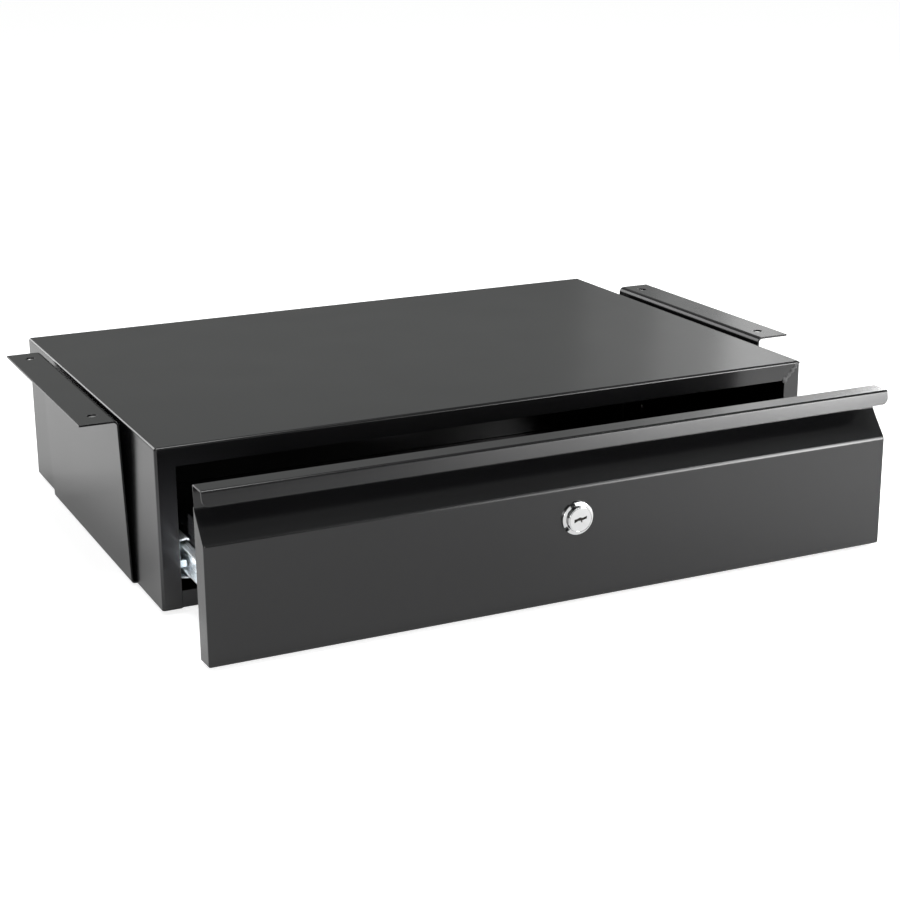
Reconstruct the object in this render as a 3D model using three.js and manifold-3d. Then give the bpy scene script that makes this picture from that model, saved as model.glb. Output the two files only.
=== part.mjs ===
// Under-desk drawer safe: a folded steel cabinet hung by two Z-shaped brackets,
// with a locking drawer on two ball slides. The drawer is modelled pulled partly open.
import * as THREE from 'three';
import { mergeVertices } from 'three/addons/utils/BufferGeometryUtils.js';
import Module from 'manifold-3d';

// Lengths in millimetres. X runs along the front, Y to the rear, Z up.

// Fits
const seat = 0.05;
const runClear = 0.25;
const overrun = 20;

// Cabinet
const cabinetWidth = 510;
const cabinetDepth = 346;
const cabinetHeight = 114;
const wallSheet = 1.2;
const wallBend = 2;
const sideLip = 14;
const topLip = 14;
const bottomLip = 12.5;
const weldFlange = 10;
const seamWidth = 0.5;
const seamDepth = 0.4;

// Hanging brackets
const bracketSheet = 1.5;
const bracketBend = 2.6;
const bracketFlange = 27.5;
const bracketFoot = 20;
const bracketRise = 3.6;
const bracketGapTop = 5.2;
const bracketGapFoot = 1.5;
const bracketLength = 216;
const bracketSetback = 64;
const deskHole = 7;
const deskHoleOutset = 13;
const deskHoleFrontInset = 20;
const deskHoleRearInset = 17;

// Bracket screws and nuts
const bracketScrew = 5;
const bracketScrewHead = 9.5;
const bracketScrewHeadHeight = 2;
const bracketScrewInset = 11;
const bracketNut = 8;
const bracketNutHeight = 4;
const screwSocket = 3;
const screwSocketDepth = 1.2;
const screwTipPast = 0.6;

// Slides
const slideLength = 300;
const slideHeight = 29.4;
const slideWebHeight = 26.8;
const slideThick = 10;
const slideSetback = 3;
const slideCentre = 34;
const slideSheet = 1.2;
const slideBend = 1.8;
const outerDepth = 8;
const outerCurl = 2.4;
const ballSize = 4;
const ballPlay = 0.05;
const innerFlange = 7;
const mountHeight = 32;
const mountClear = 0.2;
const stopTabReach = 4.3;
const stopTabHeight = 5;
const stopTabDrop = 1.5;
const stopTabSetback = 1.5;
const cageLength = 70;
const cageWidth = 4;
const cageSheet = 0.8;
const ballPitch = 9;

// Slide screws
const slideScrew = 4;
const slideScrewHead = 7;
const slideScrewHeadHeight = 1.6;
const slideScrewTip = 3;
const slideScrewFrontInset = 32;
const slideScrewMiddleInset = 81;
const slideScrewRearInset = 30;

// Drawer
const openAtRest = 85;
const frontGap = 1;
const panSheet = 1;
const panFloor = 14.5;
const panTop = 62;
const panDepth = 305;
const panCorner = 3;
const panHem = 6;
const panHemThick = 1.1;
const frontWidth = 514;
const frontSheet = 1.2;
const frontBend = 2;
const frontDrop = 1;
const frontTop = 115.5;
const frontDepth = 17;
const creaseHeight = 80;
const recessHeight = 99;
const lipDepth = 18.5;
const lipHeight = 10.4;
const lipCorner = 5;
const backPlateTopClear = 4.5;
const frontScrew = 4;
const frontScrewHead = 8;
const frontScrewHeadHeight = 2.2;
const frontScrewTip = 4;
const frontScrewInset = 32;
const frontScrewRise = 10;

// Lock
const lockX = 3.5;
const lockHeight = 58.2;
const bezelSize = 24.4;
const bezelFront = 19.2;
const bezelDepth = 3.4;
const bezelEdge = 0.8;
const bezelNotch = 4;
const barrelSize = 18.6;
const barrelPast = 4.6;
const plugFace = 17.8;
const plugProud = 1.4;
const plugCore = 12.2;
const plugEdge = 0.4;
const keySlotLength = 9.5;
const keySlotWidth = 1.8;
const keySlotDepth = 5;
const lockNut = 24;
const lockNutHeight = 3;
const tailSize = 6;
const camGap = 0.3;
const camSheet = 2;
const camReach = 45.5;
const camWidth = 15;
const camTipCorner = 4;
const camRoundShare = 0.98;
const camScrew = 4;
const camScrewHead = 10;
const camScrewHeadHeight = 2.2;
const camScrewLength = 8;
const lockNotch = 18;
const lockNotchCorner = 6;

// Angles in degrees and counts
const bezelNotchAngles = [114, 226];
const bendSteps = 3;
const roundSteps = 24;
const screwSteps = 12;
const ballSteps = 8;

// Worked-out places
const halfWidth = cabinetWidth / 2;
const openingHalf = halfWidth - sideLip;
const openingTop = cabinetHeight - topLip;
const mountHalf = openingHalf + mountClear;
const slideHalf = mountHalf - seat;
const panHalf = slideHalf - slideThick - seat;
const frontHalf = frontWidth / 2;
const drawerY = -(openAtRest + frontGap);
const slideY = [slideSetback, slideSetback + slideLength];
const innerY = slideY.map((y) => y + frontGap);
const outerScrewPlaces = { front: slideScrewFrontInset, rear: slideLength - slideScrewRearInset };
const innerScrewPlaces = { ...outerScrewPlaces, middle: slideScrewMiddleInset };
const ballAcross = outerDepth - slideSheet - runClear - ballSize / 2;
const raceHalf = slideWebHeight / 2 + ((slideHeight - slideWebHeight) / 2) * (ballAcross / outerDepth);
const ballHeight = raceHalf - slideSheet - ballPlay - ballSize / 2;
const innerHalf = ballHeight - ballSize / 2 - ballPlay;
const bracketY = [bracketSetback, bracketSetback + bracketLength];
const deskHoles = {
  front: bracketY[0] + deskHoleFrontInset,
  rear: bracketY[1] - deskHoleRearInset,
};
const backPlateTop = recessHeight - backPlateTopClear;
const frontBottom = -frontDrop;
const sides = { left: -1, right: 1 };

const wasm = await Module();
wasm.setup();

// Closed mesh to solid
function solid(geometry) {
  const bare = geometry.clone();
  bare.deleteAttribute('normal');
  bare.deleteAttribute('uv');
  const merged = mergeVertices(bare);
  const index = merged.index.array;
  const faces = [];
  for (let i = 0; i < index.length; i += 3) {
    const [a, b, c] = [index[i], index[i + 1], index[i + 2]];
    if (a !== b && b !== c && c !== a) faces.push(a, b, c);
  }
  const vertProperties = Float32Array.from(merged.attributes.position.array);
  return new wasm.Manifold(new wasm.Mesh({
    numProp: 3,
    vertProperties,
    triVerts: Uint32Array.from(faces),
  }));
}

function shapeOf(body) {
  const mesh = body.getMesh();
  const geometry = new THREE.BufferGeometry();
  geometry.setAttribute('position', new THREE.BufferAttribute(mesh.vertProperties, 3));
  geometry.setIndex(new THREE.BufferAttribute(mesh.triVerts, 1));
  const flat = geometry.toNonIndexed();
  flat.computeVertexNormals();
  return flat;
}

function join(geometries) {
  return geometries.map(solid).reduce((whole, part) => whole.add(part));
}

function cut(body, geometries) {
  return geometries.map(solid).reduce((whole, part) => whole.subtract(part), body);
}

// Closed outline from [u, v, radius] corners, each radius drawn as a short run of arc points
function outline(corners) {
  const points = [];
  corners.forEach(([u, v, radius = 0], i) => {
    const here = new THREE.Vector2(u, v);
    const last = corners[(i + corners.length - 1) % corners.length];
    const next = corners[(i + 1) % corners.length];
    const into = here.clone().sub(new THREE.Vector2(last[0], last[1])).normalize();
    const out = new THREE.Vector2(next[0], next[1]).sub(here).normalize();
    const turn = Math.atan2(into.cross(out), into.dot(out));
    if (radius <= 0 || Math.abs(turn) < Number.EPSILON) {
      points.push(here);
      return;
    }
    const start = here.clone().addScaledVector(into, -radius * Math.tan(Math.abs(turn) / 2));
    const side = new THREE.Vector2(-into.y, into.x).multiplyScalar(Math.sign(turn) * radius);
    const centre = start.clone().add(side);
    const steps = Math.max(2, Math.ceil((Math.abs(turn) * 2 * bendSteps) / Math.PI));
    for (let k = 0; k <= steps; k += 1) {
      points.push(start.clone().rotateAround(centre, (turn * k) / steps));
    }
  });
  return points;
}

// Corners of a path moved to its left, each with the radius of a bend on its own and on the moved side
function offsetPath(path, thick, bend) {
  const points = path.map(([u, v]) => new THREE.Vector2(u, v));
  const normals = points.slice(1).map((point, i) => {
    const run = point.clone().sub(points[i]).normalize();
    return new THREE.Vector2(-run.y, run.x);
  });
  const inside = bend - thick;
  const near = [];
  const far = [];
  points.forEach((point, i) => {
    const before = normals[Math.max(i - 1, 0)];
    const after = normals[Math.min(i, normals.length - 1)];
    const lean = before.clone().add(after).divideScalar(1 + before.dot(after));
    const turn = before.cross(after);
    const other = point.clone().addScaledVector(lean, thick);
    near.push([point.x, point.y, turn === 0 ? 0 : turn > 0 ? bend : inside]);
    far.push([other.x, other.y, turn === 0 ? 0 : turn > 0 ? inside : bend]);
  });
  return { near, far };
}

// Outline of a sheet folded along a path of [u, v] points, with its thickness to the left
function folded(path, thick, bend) {
  const { near, far } = offsetPath(path, thick, bend);
  return outline([...near, ...far.reverse()]);
}

function mirrored(points, side) {
  return points.map((point) => new THREE.Vector2(point.x * side, point.y));
}

// Outlines drawn in (Y, Z), (X, Z) and (X, Y), swept along the third axis
const axisX = new THREE.Vector3(1, 0, 0);
const axisY = new THREE.Vector3(0, 1, 0);
const axisZ = new THREE.Vector3(0, 0, 1);
const turnToX = new THREE.Matrix4().makeBasis(axisY, axisZ, axisX);
const turnToY = new THREE.Matrix4().makeBasis(axisX, axisZ, axisY.clone().negate());

function sweep(points, length) {
  return new THREE.ExtrudeGeometry(new THREE.Shape(points), { depth: length, bevelEnabled: false });
}

function alongX(points, [from, to]) {
  return sweep(points, to - from).applyMatrix4(turnToX).translate(from, 0, 0);
}

function alongY(points, [from, to]) {
  return sweep(points, to - from).applyMatrix4(turnToY).translate(0, to, 0);
}

function alongZ(points, [from, to]) {
  return sweep(points, to - from).translate(0, 0, from);
}

function block([x0, x1], [y0, y1], [z0, z1]) {
  const box = new THREE.BoxGeometry(x1 - x0, y1 - y0, z1 - z0);
  return box.translate((x0 + x1) / 2, (y0 + y1) / 2, (z0 + z1) / 2);
}

// Straight round cutter or pin between two points on one axis
function rod(axis, size, [a, b], [from, to], steps = screwSteps) {
  const pin = new THREE.CylinderGeometry(size / 2, size / 2, to - from, steps);
  const middle = (from + to) / 2;
  if (axis === 'x') return pin.rotateZ(Math.PI / 2).translate(middle, a, b);
  if (axis === 'z') return pin.rotateX(Math.PI / 2).translate(a, b, middle);
  return pin.translate(a, middle, b);
}

// Low round-head screw with a hex socket: head from 0 down, shank up to its length along +Y
function screw(size, head, headHeight, length) {
  const turned = new THREE.LatheGeometry([
    new THREE.Vector2(0, -headHeight),
    new THREE.Vector2(head / 3, -headHeight),
    new THREE.Vector2(head / 2, -headHeight / 3),
    new THREE.Vector2(head / 2, 0),
    new THREE.Vector2(size / 2, 0),
    new THREE.Vector2(size / 2, length),
    new THREE.Vector2(0, length),
  ], screwSteps);
  const socket = new THREE.CylinderGeometry(screwSocket / 2, screwSocket / 2, 2 * screwSocketDepth, 6);
  return shapeOf(cut(solid(turned), [socket.translate(0, -headHeight, 0)]));
}

// Finishes
const powderCoat = new THREE.MeshStandardMaterial({ color: 0x343537, roughness: 0.34, metalness: 0.2 });
const zinc = new THREE.MeshStandardMaterial({ color: 0xc9d3dc, roughness: 0.3, metalness: 0.9 });
const chrome = new THREE.MeshStandardMaterial({ color: 0xe6e6e8, roughness: 0.12, metalness: 1 });
const brightSteel = new THREE.MeshStandardMaterial({ color: 0xb9bcc0, roughness: 0.35, metalness: 0.9 });
const cagePlastic = new THREE.MeshStandardMaterial({ color: 0xd8d8d2, roughness: 0.5, metalness: 0 });

function piece(name, shape, material, group) {
  const mesh = new THREE.Mesh(shape, material);
  mesh.name = name;
  group.add(mesh);
  return mesh;
}

// Cabinet wrap: top and side walls in one sheet, turned in at the front as a face frame
function cabinetShell() {
  const inHalf = halfWidth - wallSheet;
  const inTop = cabinetHeight - wallSheet;
  const inBend = wallBend - wallSheet;
  const all = [-overrun, cabinetDepth + overrun];
  const arch = (half, top, bend) => [
    [-half, -overrun], [half, -overrun], [half, top, bend], [-half, top, bend],
  ];
  const hood = (front, top, bend) => [
    [front, -overrun], [cabinetDepth + overrun, -overrun], [cabinetDepth + overrun, top], [front, top, bend],
  ];
  const plan = (half, front, bend) => [
    [-half, front, bend], [half, front, bend], [half, cabinetDepth + overrun], [-half, cabinetDepth + overrun],
  ];
  const wide = [-cabinetWidth, cabinetWidth];
  const tall = [-overrun, cabinetHeight + overrun];
  const outer = solid(alongY(outline(arch(halfWidth, cabinetHeight, wallBend)), all))
    .intersect(solid(alongX(outline(hood(0, cabinetHeight, wallBend)), wide)))
    .intersect(solid(alongZ(outline(plan(halfWidth, 0, wallBend)), tall)))
    .intersect(solid(block(wide, [0, cabinetDepth], [0, cabinetHeight])));
  const inner = solid(alongY(outline(arch(inHalf, inTop, inBend)), all))
    .intersect(solid(alongX(outline(hood(wallSheet, inTop, inBend)), wide)))
    .intersect(solid(alongZ(outline(plan(inHalf, wallSheet, inBend)), tall)));
  const mouth = block([-openingHalf, openingHalf], [-overrun, overrun], [-overrun, openingTop]);
  let shell = cut(outer.subtract(inner), [mouth]);
  // Mitre seams across the two top corners of the face frame
  const run = Math.hypot(sideLip - wallBend, topLip - wallBend);
  for (const side of Object.values(sides)) {
    const seam = block([-seamWidth, run], [-seamDepth, seamDepth], [-seamWidth / 2, seamWidth / 2]);
    seam.rotateY(-Math.atan2(topLip, side * sideLip));
    shell = cut(shell, [seam.translate(side * openingHalf, 0, openingTop)]);
  }
  return shapeOf(shell);
}

// Bottom sheet with its own front lip, welded between the walls
function cabinetBottom() {
  const half = halfWidth - wallSheet - seat;
  const lipHalf = openingHalf - seat;
  const rear = cabinetDepth - wallSheet - seat;
  const lipPath = [[overrun, 0], [0, 0], [0, bottomLip]];
  const front = alongX(folded(lipPath.reverse(), wallSheet, wallBend), [-lipHalf, lipHalf]);
  const floorY = [wallBend + seat, rear];
  const floor = block([-half, half], floorY, [0, wallSheet]);
  const edges = Object.values(sides).map((side) => {
    const span = [side * half, side * (half - wallSheet)].sort((a, b) => a - b);
    return block(span, floorY, [0, weldFlange]);
  });
  const holes = bracketScrewPlaces().map(([, x, y]) => (
    rod('z', bracketScrew + 2 * runClear, [x, y], [-overrun, overrun])
  ));
  return shapeOf(cut(join([front, floor, ...edges]), holes));
}

// Rear panel: a shallow tray set in between the walls, its face also covering the bottom's edge
function cabinetBack() {
  const half = halfWidth - wallSheet - seat;
  const top = cabinetHeight - wallSheet - seat;
  const bend = wallBend - wallSheet;
  const rimFront = cabinetDepth - weldFlange;
  const arch = (inset, low) => outline([
    [-half + inset, low], [half - inset, low], [half - inset, top - inset, bend], [-half + inset, top - inset, bend],
  ]);
  const tray = solid(alongY(arch(0, 0), [rimFront, cabinetDepth]));
  const hollow = alongY(arch(wallSheet, -overrun), [rimFront - overrun, cabinetDepth - wallSheet]);
  const lowCut = block([-cabinetWidth, cabinetWidth], [rimFront - overrun, cabinetDepth - wallSheet],
    [-overrun, weldFlange + seat]);
  return shapeOf(cut(tray, [hollow, lowCut]));
}

// Z-shaped hanging bracket: desk flange, web leaning a little outwards, foot under the cabinet
function bracket(side) {
  const footX = halfWidth + bracketGapFoot - bracketFoot;
  const flangeTop = cabinetHeight + bracketRise;
  const webTop = halfWidth + bracketGapTop;
  const path = [
    [-footX, -seat],
    [-(halfWidth + bracketGapFoot), -seat],
    [-webTop, flangeTop],
    [-(webTop + bracketFlange), flangeTop],
  ];
  const strip = alongY(mirrored(folded(path, bracketSheet, bracketBend), -side), bracketY);
  const holeX = side * (webTop + deskHoleOutset);
  const deskCuts = Object.values(deskHoles).map((y) => (
    rod('z', deskHole, [holeX, y], [flangeTop - overrun, flangeTop + overrun], roundSteps)
  ));
  const footCuts = bracketScrewPlaces()
    .filter(([, x]) => x * side > 0)
    .map(([, x, y]) => rod('z', bracketScrew + 2 * runClear, [x, y], [-overrun, overrun]));
  return shapeOf(cut(solid(strip), [...deskCuts, ...footCuts]));
}

// Name, X and Y of each bracket screw
function bracketScrewPlaces() {
  return Object.entries(sides).flatMap(([sideName, side]) => (
    Object.entries(deskHoles).map(([end, y]) => (
      [`${sideName}_${end}`, side * (halfWidth - bracketScrewInset), y]
    ))
  ));
}

function bracketFasteners(group) {
  const headTop = -2 * seat - bracketSheet;
  const nutTop = wallSheet + seat + bracketNutHeight;
  for (const [place, x, y] of bracketScrewPlaces()) {
    const length = nutTop + screwTipPast - headTop;
    const bolt = screw(bracketScrew, bracketScrewHead, bracketScrewHeadHeight, length);
    piece(`bracket_screw_${place}`, bolt.rotateX(Math.PI / 2), zinc, group).position.set(x, y, headTop);
    const hex = new THREE.CylinderGeometry(bracketNut / Math.sqrt(3), bracketNut / Math.sqrt(3), bracketNutHeight, 6);
    const bore = new THREE.CylinderGeometry(bracketScrew / 2 + runClear, bracketScrew / 2 + runClear, overrun, screwSteps);
    const nut = shapeOf(cut(solid(hex), [bore])).rotateX(Math.PI / 2);
    piece(`bracket_nut_${place}`, nut, zinc, group).position.set(x, y, nutTop - bracketNutHeight / 2);
  }
}

// Channel welded to the side wall that carries a slide in line with the face frame's opening
function slideMount(side) {
  const wall = halfWidth - wallSheet - seat;
  const low = slideCentre - mountHeight / 2;
  const high = slideCentre + mountHeight / 2;
  const path = [[-wall, low], [-mountHalf, low], [-mountHalf, high], [-wall, high]];
  const channel = alongY(mirrored(folded(path, wallSheet, wallBend), -side), slideY);
  const cuts = Object.values(outerScrewPlaces).map((inset) => (
    rod('x', slideScrew + 2 * runClear, [slideY[0] + inset, slideCentre],
      [side * mountHalf - overrun / 2, side * mountHalf + overrun / 2])
  ));
  return shapeOf(cut(solid(channel), cuts));
}

// Outer slide member: a C profile with flared, curled edges and a lanced stop tab at its front end
function slideOuter(side) {
  const tip = slideHeight / 2;
  const root = slideWebHeight / 2;
  const across = (u) => -slideHalf + u;
  const path = [
    [across(outerDepth), tip - outerCurl],
    [across(outerDepth), tip],
    [across(0), root],
    [across(0), -root],
    [across(outerDepth), -tip],
    [across(outerDepth), -tip + outerCurl],
  ];
  const rail = alongY(mirrored(folded(path, slideSheet, slideBend), -side), slideY);
  const tabX = [across(slideSheet / 2) * -side, across(slideSheet + stopTabReach) * -side].sort((a, b) => a - b);
  const tabY = [slideY[0] + stopTabSetback, slideY[0] + stopTabSetback + slideSheet];
  const tab = block(tabX, tabY, [-stopTabDrop - stopTabHeight, -stopTabDrop]);
  const cuts = Object.values(outerScrewPlaces).map((inset) => (
    rod('x', slideScrew + 2 * runClear, [slideY[0] + inset, 0],
      [side * slideHalf - outerDepth, side * slideHalf + outerDepth])
  ));
  return shapeOf(cut(join([rail, tab]), cuts)).translate(0, 0, slideCentre);
}

// Inner slide member: a smaller C facing the outer one, fixed to the drawer's side
function slideInner(side) {
  const back = -slideHalf + slideThick;
  const path = [
    [back - innerFlange, -innerHalf],
    [back, -innerHalf],
    [back, innerHalf],
    [back - innerFlange, innerHalf],
  ];
  const rail = alongY(mirrored(folded(path, slideSheet, slideBend), -side), innerY);
  const cuts = Object.values(innerScrewPlaces).map((inset) => (
    rod('x', slideScrew + 2 * runClear, [innerY[0] + inset, 0],
      [side * -back - outerDepth, side * -back + outerDepth])
  ));
  return shapeOf(cut(solid(rail), cuts)).translate(0, 0, slideCentre);
}

// Row of balls held in a retainer strip, above or below the inner member
function ballCage(side, level) {
  const strip = new THREE.BoxGeometry(cageWidth, cageLength, cageSheet);
  const count = Math.floor((cageLength - ballSize) / ballPitch);
  const balls = Array.from({ length: count }, (unused, i) => (
    new THREE.SphereGeometry(ballSize / 2, ballSteps, ballSteps - 2)
      .translate(0, (i - (count - 1) / 2) * ballPitch, 0)
  ));
  const row = shapeOf(join([strip, ...balls]));
  const restY = slideY[0] + slideLength / 2 - openAtRest / 2;
  return row.translate(side * (slideHalf - ballAcross), restY, slideCentre + level * ballHeight);
}

// Screws of one slide member; they point away from the member's hollow side
function slideScrews(prefix, places, faceX, heading, startY, length, group) {
  for (const [end, inset] of Object.entries(places)) {
    const bolt = screw(slideScrew, slideScrewHead, slideScrewHeadHeight, length);
    bolt.rotateZ((-heading * Math.PI) / 2);
    const mesh = piece(`${prefix}_${end}`, bolt, zinc, group);
    mesh.position.set(faceX, startY + inset, slideCentre);
  }
}

// Drawer tray with hemmed rims and a cut-out that clears the lock
function drawerPan() {
  const floorIn = panFloor + panSheet;
  const plan = (inset, corner) => outline([
    [-panHalf + inset, seat + inset, corner],
    [panHalf - inset, seat + inset, corner],
    [panHalf - inset, seat + panDepth - inset, corner],
    [-panHalf + inset, seat + panDepth - inset, corner],
  ]);
  const hemInset = panSheet + panHemThick;
  const outer = solid(alongZ(plan(0, panCorner), [panFloor, panTop]));
  const hollow = alongZ(plan(panSheet, panCorner - panSheet), [floorIn, panTop - panHem]);
  const mouth = alongZ(plan(hemInset, panCorner - panSheet), [floorIn, panTop + overrun]);
  const notch = alongY(outline([
    [lockX - lockNotch, lockHeight - lockNotch, lockNotchCorner],
    [lockX + lockNotch, lockHeight - lockNotch, lockNotchCorner],
    [lockX + lockNotch, panTop + overrun],
    [lockX - lockNotch, panTop + overrun],
  ]), [-overrun, hemInset + overrun]);
  const slideHoles = Object.values(sides).flatMap((side) => (
    Object.values(innerScrewPlaces).map((inset) => (
      rod('x', slideScrew + 2 * runClear, [innerY[0] + inset, slideCentre],
        [side * panHalf - overrun / 2, side * panHalf + overrun / 2])
    ))
  ));
  const frontHoles = frontScrewPlaces().map(([, x, z]) => (
    rod('y', frontScrew + 2 * runClear, [x, z], [-overrun, overrun])
  ));
  return shapeOf(cut(outer, [hollow, mouth, notch, ...slideHoles, ...frontHoles]));
}

// Drawer front: flat face, sloping finger recess, and a lipped pull along the top
function drawerFront() {
  const face = -frontDepth;
  const wall = -frontSheet;
  const under = frontTop - frontSheet;
  const lipBack = -lipDepth + frontSheet;
  const path = [
    [lipBack, frontTop - lipHeight],
    [lipBack, under],
    [wall, under],
    [wall, recessHeight],
    [face, creaseHeight],
    [face, frontBottom],
    [0, frontBottom],
  ];
  const { near, far } = offsetPath(path, frontSheet, frontBend);
  const [lipFoot, lipTop, wallTop, slopeTop, slopeFoot, faceFoot] = far;
  const filled = alongX(outline([...near, wallTop, lipTop, lipFoot]), [-frontHalf, frontHalf]);
  const pocket = alongX(outline([
    [overrun, faceFoot[1]],
    faceFoot,
    slopeFoot,
    [0, slopeTop[1]],
    [overrun, slopeTop[1]],
  ]), [-frontHalf + frontSheet, frontHalf - frontSheet]);
  const lipLow = frontTop - lipHeight;
  const corners = Object.values(sides).map((side) => {
    const arc = Array.from({ length: 2 * bendSteps + 1 }, (unused, k) => {
      const angle = (k * Math.PI) / (4 * bendSteps);
      return new THREE.Vector2(
        side * (frontHalf - lipCorner + lipCorner * Math.sin(angle)),
        lipLow + lipCorner - lipCorner * Math.cos(angle),
      );
    });
    const wedge = [
      ...arc,
      new THREE.Vector2(side * (frontHalf + overrun), lipLow + lipCorner),
      new THREE.Vector2(side * (frontHalf + overrun), lipLow - overrun),
      new THREE.Vector2(side * (frontHalf - lipCorner), lipLow - overrun),
    ];
    return alongY(wedge, [-lipDepth - overrun, -frontDepth + seat]);
  });
  const lockHole = rod('y', barrelSize + 2 * runClear, [lockX, lockHeight], [-frontDepth - overrun, overrun], roundSteps);
  return shapeOf(cut(solid(filled), [pocket, ...corners, lockHole]));
}

// Plate that closes the hollow front from behind and takes the tray's screws
function frontBackPlate() {
  const half = frontHalf - frontSheet - seat;
  const low = frontBottom + frontSheet + seat;
  const plate = block([-half, half], [-frontSheet, 0], [low, backPlateTop]);
  const cuts = frontScrewPlaces().map(([, x, z]) => (
    rod('y', frontScrew + 2 * runClear, [x, z], [-overrun / 2, overrun / 2])
  ));
  const lockHole = rod('y', barrelSize + 2 * runClear, [lockX, lockHeight], [-overrun / 2, overrun / 2], roundSteps);
  return shapeOf(cut(solid(plate), [...cuts, lockHole]));
}

// Name, X and Z of each screw that holds the tray to the front
function frontScrewPlaces() {
  const levels = { lower: panFloor + frontScrewRise, upper: panTop - panHem - frontScrewRise };
  return Object.entries(sides).flatMap(([sideName, side]) => (
    Object.entries(levels).map(([level, z]) => [`${sideName}_${level}`, side * (panHalf - frontScrewInset), z])
  ));
}

function frontScrews(group) {
  const headY = 2 * seat + panSheet;
  for (const [place, x, z] of frontScrewPlaces()) {
    const bolt = screw(frontScrew, frontScrewHead, frontScrewHeadHeight, headY + frontScrewTip);
    piece(`front_screw_${place}`, bolt.rotateX(Math.PI), zinc, group).position.set(x, headY, z);
  }
}

// Lock body: notched conical bezel in front, threaded barrel behind, bored for the plug
function lockHousing() {
  const rear = frontDepth + seat + barrelPast;
  const bore = plugCore / 2 + runClear;
  const ring = new THREE.LatheGeometry([
    new THREE.Vector2(bore, -bezelDepth),
    new THREE.Vector2(bezelFront / 2, -bezelDepth),
    new THREE.Vector2(bezelSize / 2, -bezelEdge),
    new THREE.Vector2(bezelSize / 2, 0),
    new THREE.Vector2(barrelSize / 2, 0),
    new THREE.Vector2(barrelSize / 2, rear),
    new THREE.Vector2(bore, rear),
    new THREE.Vector2(bore, -bezelDepth),
  ], roundSteps);
  const notches = bezelNotchAngles.map((angle) => (
    block([bezelFront / 2 - bezelEdge, bezelSize], [-bezelDepth - overrun, -bezelEdge], [-bezelNotch / 2, bezelNotch / 2])
      .rotateY(-THREE.MathUtils.degToRad(angle))
  ));
  return shapeOf(cut(solid(ring), notches));
}

// Turning plug with its key slot in front and a square tail for the cam
function lockPlug() {
  const coreEnd = frontDepth + barrelPast;
  const tailEnd = coreEnd + camGap + camSheet;
  const back = -bezelDepth - seat;
  const face = back - plugProud;
  const body = new THREE.LatheGeometry([
    new THREE.Vector2(0, face),
    new THREE.Vector2(plugFace / 2 - plugEdge, face),
    new THREE.Vector2(plugFace / 2, face + plugEdge),
    new THREE.Vector2(plugFace / 2, back),
    new THREE.Vector2(plugCore / 2, back),
    new THREE.Vector2(plugCore / 2, coreEnd),
    new THREE.Vector2(0, coreEnd),
  ], roundSteps);
  const half = tailSize / 2;
  const tail = block([-half, half], [0, tailEnd], [-half, half]);
  const slotShares = [
    [-0.5, -0.5], [-0.18, -0.15], [0.02, -0.15], [0.02, -0.5], [0.14, -0.5], [0.14, -0.15], [0.5, 0.1],
    [0.5, 0.6], [0.18, 0.35], [-0.06, 0.5], [-0.3, 0.25], [-0.5, 0.2],
  ];
  const slot = alongY(
    slotShares.map(([u, v]) => new THREE.Vector2(u * keySlotLength, v * 2 * keySlotWidth)),
    [face - overrun, face + keySlotDepth],
  );
  const thread = rod('y', camScrew + 2 * runClear, [0, 0], [tailEnd - camScrewLength - runClear, tailEnd + overrun]);
  return shapeOf(cut(join([body, tail]), [slot, thread]));
}

function lockCam() {
  const half = camWidth / 2;
  const blade = alongY(outline([
    [half, -half, half * camRoundShare],
    [half, half, half * camRoundShare],
    [-camReach, half, camTipCorner],
    [-camReach, -half, camTipCorner],
  ]), [0, camSheet]);
  const square = tailSize / 2 + runClear / 2;
  const hole = block([-square, square], [-overrun, overrun], [-square, square]);
  return shapeOf(cut(solid(blade), [hole]));
}

function lockParts(group) {
  const lock = new THREE.Group();
  lock.position.set(lockX, -frontDepth - seat, lockHeight);
  group.add(lock);
  piece('lock_housing', lockHousing(), chrome, lock);
  piece('lock_plug', lockPlug(), chrome, lock);
  const nutAt = frontDepth + 2 * seat;
  const hex = new THREE.CylinderGeometry(lockNut / Math.sqrt(3), lockNut / Math.sqrt(3), lockNutHeight, 6);
  const bore = rod('y', barrelSize + 2 * runClear, [0, 0], [-overrun, overrun], roundSteps);
  piece('lock_nut', shapeOf(cut(solid(hex), [bore])), brightSteel, lock).position.y = nutAt + lockNutHeight / 2;
  const camAt = frontDepth + barrelPast + camGap;
  piece('lock_cam', lockCam(), brightSteel, lock).position.y = camAt;
  const bolt = screw(camScrew, camScrewHead, camScrewHeadHeight, camScrewLength).rotateX(Math.PI);
  piece('lock_cam_screw', bolt, brightSteel, lock).position.y = camAt + camSheet + seat;
}

// Whole safe: everything is placed from the cabinet's lower front edge, at mid-width
const safe = new THREE.Group();
const foremost = drawerY - frontDepth - 2 * seat - bezelDepth - plugProud;
const lowest = -2 * seat - bracketSheet - bracketScrewHeadHeight;
safe.position.set(0, -(foremost + cabinetDepth) / 2, -lowest);

piece('cabinet_shell', cabinetShell(), powderCoat, safe);
piece('cabinet_bottom', cabinetBottom(), powderCoat, safe);
piece('cabinet_back', cabinetBack(), powderCoat, safe);
for (const [name, side] of Object.entries(sides)) {
  piece(`bracket_${name}`, bracket(side), powderCoat, safe);
  piece(`slide_mount_${name}`, slideMount(side), powderCoat, safe);
  piece(`slide_outer_${name}`, slideOuter(side), zinc, safe);
  piece(`ball_cage_${name}_upper`, ballCage(side, 1), cagePlastic, safe);
  piece(`ball_cage_${name}_lower`, ballCage(side, -1), cagePlastic, safe);
  const outerFace = side * (slideHalf - slideSheet - seat);
  const outerLength = slideSheet + 2 * seat + wallSheet + slideScrewTip;
  slideScrews(`slide_outer_screw_${name}`, outerScrewPlaces, outerFace, side, slideY[0], outerLength, safe);
}
bracketFasteners(safe);

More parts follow.
